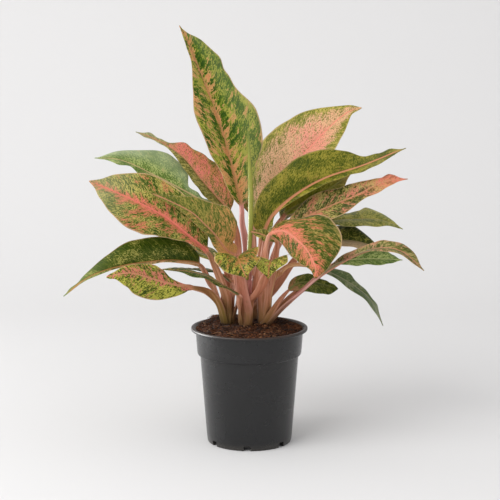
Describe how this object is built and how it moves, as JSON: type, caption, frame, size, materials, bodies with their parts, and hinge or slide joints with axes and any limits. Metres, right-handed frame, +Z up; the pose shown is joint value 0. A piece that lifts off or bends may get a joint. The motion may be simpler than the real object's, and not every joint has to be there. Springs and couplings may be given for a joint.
{
  "type": "potted chinese evergreen",
  "caption": "Leafy house plant with broad, pointed, pink and green speckled leaves on short canes, growing in a dark tapered nursery pot with a collar under its rim.",
  "frame": {"origin": "middle of the pot's underside, on its flat centre pad, level with the surface that the pot stands on", "axes": "+Z up along the pot's axis; the plant's front faces -Y, and +X is to its right as seen from the front"},
  "size_m": [0.3836, 0.2248, 0.4602],
  "materials": {
    "pot_plastic": "satin",
    "potting_mix": "matte",
    "cane_skin": "satin",
    "leaf_green": "satin",
    "leaf_pink": "satin",
    "leaf_new": "satin"
  },
  "bodies": {
    "root": {"pot": "pot_plastic", "soil": "potting_mix", "left_cane": "cane_skin", "centre_cane": "cane_skin", "right_cane": "cane_skin", "back_cane": "cane_skin", "large_left_leaf": "leaf_pink", "left_pale_leaf": "leaf_green", "left_pink_leaf": "leaf_pink", "left_dark_leaf": "leaf_green", "low_left_leaf": "leaf_green", "left_narrow_leaf": "leaf_green", "tall_leaf": "leaf_green", "inner_left_leaf": "leaf_green", "front_pointing_leaf": "leaf_green", "front_curled_leaf": "leaf_green", "upper_right_green_leaf": "leaf_green", "low_left_edge_leaf": "leaf_green", "upper_right_pink_leaf": "leaf_pink", "right_middle_leaf": "leaf_green", "front_drooping_leaf": "leaf_pink", "front_small_leaf": "leaf_green", "right_arching_leaf": "leaf_green", "right_under_leaf": "leaf_green", "low_right_leaf": "leaf_green", "low_drooping_leaf": "leaf_green", "right_shaded_leaf": "leaf_green", "right_far_leaf": "leaf_green", "right_dark_leaf": "leaf_green", "back_upright_leaf": "leaf_green", "back_left_leaf": "leaf_green", "back_right_leaf": "leaf_green", "back_low_left_leaf": "leaf_green", "back_low_leaf": "leaf_green", "rolled_new_leaf": "leaf_new"}
  },
  "joints": []
}
